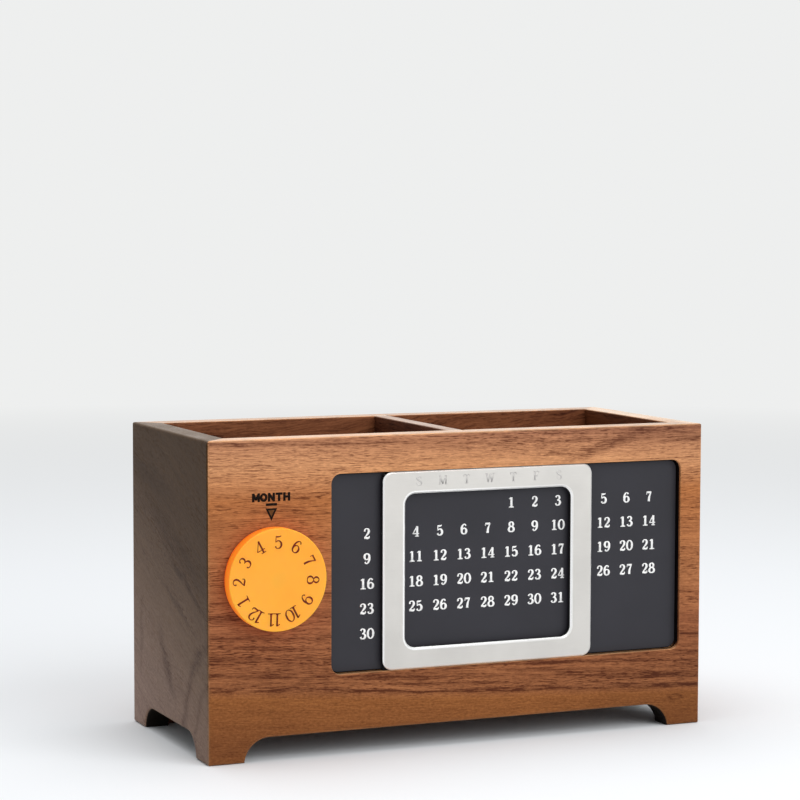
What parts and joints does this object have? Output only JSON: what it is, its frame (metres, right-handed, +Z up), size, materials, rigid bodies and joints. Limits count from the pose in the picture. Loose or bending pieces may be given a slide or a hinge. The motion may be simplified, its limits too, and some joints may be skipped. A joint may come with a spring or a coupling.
{
  "type": "desk organiser with perpetual calendar",
  "caption": "Open-topped wooden pen box on bracket feet, with a sliding metal frame over a plate of day numbers and a round month dial on its front.",
  "frame": {"origin": "middle of the footprint, dial included, on the surface the feet stand on", "axes": "+X runs along the front to the right as seen from the front, +Y runs from the front board to the back, +Z is up"},
  "size_m": [0.2, 0.094, 0.116],
  "materials": {
    "walnut": "oiled walnut, satin",
    "walnut_inside": "oiled walnut, matt",
    "spline_wood": "raw wood",
    "plate": "satin charcoal coating",
    "tape": "matt",
    "steel": "brushed, with polished bevels",
    "spring_steel": "bright",
    "felt": "felt",
    "orange": "satin orange",
    "brass": "turned",
    "zinc": "zinc plated",
    "plate_print": "screen printed day numbers",
    "dial_print": "screen printed month numbers",
    "engraving": "engraved weekday letters",
    "burnt_mark": "burnt into the wood"
  },
  "bodies": {
    "box": {"front_panel": "walnut", "back_panel": "walnut", "left_end_panel": "walnut", "right_end_panel": "walnut", "floor_board": "walnut_inside", "divider": "walnut_inside", "corner_splines": "spline_wood", "calendar_plate": "plate", "adhesive_sheet": "tape", "dial_bushing": "brass", "dished_washer": "spring_steel"},
    "slider": {"slider_bezel": "steel", "slider_guide_plate": "spring_steel", "slider_springs": "spring_steel", "glide_strips": "felt"},
    "dial": {"month_dial": "orange", "felt_washer": "felt", "dial_insert": "brass", "flat_washer": "zinc", "dial_screw": "zinc"}
  },
  "joints": [
    {"name": "slider_slide", "type": "slide", "parent": "box", "child": "slider", "axis": [1, 0, 0], "range_m": [-0.02005, 0.03795]},
    {"name": "month_turn", "type": "hinge", "parent": "box", "child": "dial", "pos_m": [-0.0756, -0.041, 0.0663], "axis": [0, -1, 0], "continuous": true}
  ]
}
